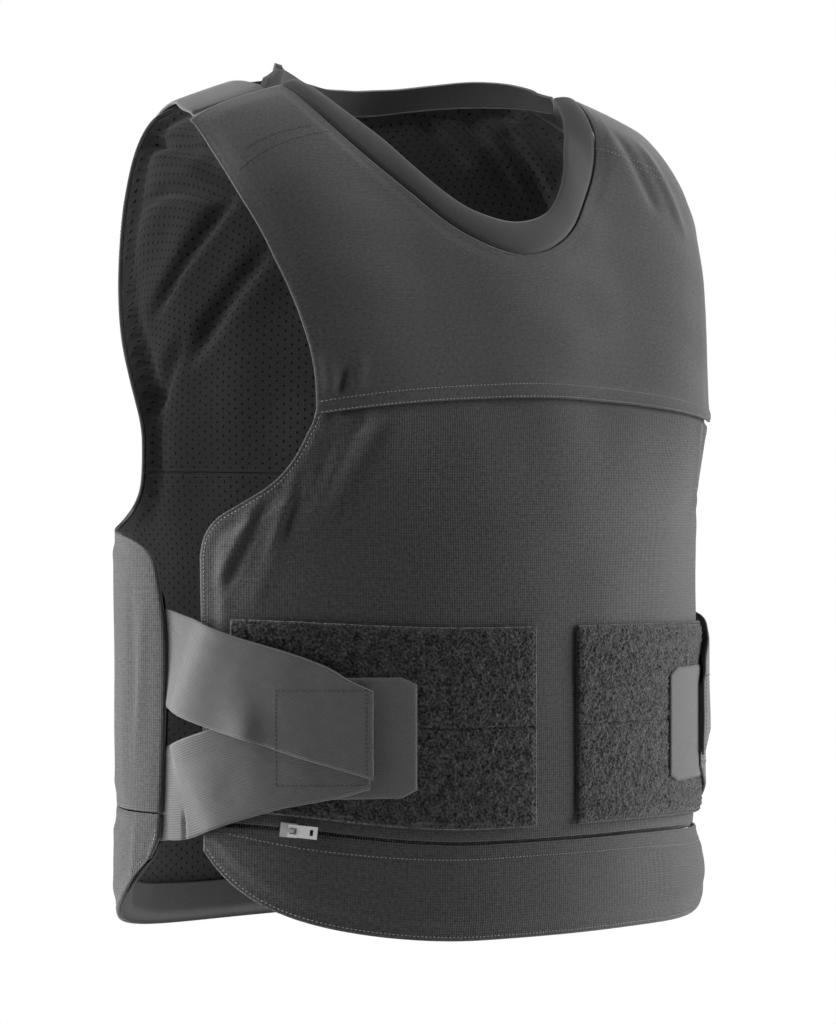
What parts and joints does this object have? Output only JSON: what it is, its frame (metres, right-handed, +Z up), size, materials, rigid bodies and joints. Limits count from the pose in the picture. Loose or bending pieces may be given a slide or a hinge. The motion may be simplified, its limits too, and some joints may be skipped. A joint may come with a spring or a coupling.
{
  "type": "concealable bulletproof vest",
  "caption": "Worn-form concealable soft armour vest with padded front and back, shoulder elastics, crossed side straps on loop patches, and a zipped hem.",
  "frame": {"origin": "midway between the two shoulders, level with the underside of the shoulder straps, where the vest sits on the wearer", "axes": "+Z up, the front of the vest faces -Y, +X is the wearer's left"},
  "size_m": [0.3762, 0.2409, 0.4813],
  "materials": {
    "charcoal_cloth": "matte woven stretch cloth, padded",
    "band_cloth": "plain smooth band cloth",
    "perforated_lining": "perforated spacer lining, matte black",
    "loop_pile": "short looped pile",
    "hook_tape": "fine herringbone back of a hook tape",
    "elastic": "ribbed woven elastic, 50 mm",
    "zip_tape": "woven zip tape with a coil chain",
    "slider_metal": "dull grey metal",
    "pull_metal": "pale satin metal"
  },
  "bodies": {
    "vest": {"front_panel": "charcoal_cloth", "front_hem_panel": "charcoal_cloth", "front_yoke": "charcoal_cloth", "front_neck_band": "band_cloth", "back_panel": "charcoal_cloth", "back_hem_panel": "charcoal_cloth", "back_lining": "perforated_lining", "back_hem_facing": "band_cloth", "back_neck_band": "band_cloth", "shoulder_strap_right": "elastic", "shoulder_strap_left": "elastic", "strap_right_upper": "elastic", "strap_right_lower": "elastic", "strap_left_upper": "elastic", "strap_left_lower": "elastic", "loop_patch_right": "loop_pile", "loop_patch_left": "loop_pile", "hook_tab_right": "hook_tape", "hook_tab_left": "hook_tape", "zip_tape": "zip_tape", "zip_slider": "slider_metal"},
    "pull": {"zip_pull": "pull_metal"}
  },
  "joints": [
    {"name": "pull_hinge", "type": "hinge", "parent": "vest", "child": "pull", "pos_m": [-0.1489, -0.0789, -0.3837], "axis": [-0.0869, 0.0683, -0.9939], "range_deg": [0, 150]}
  ]
}
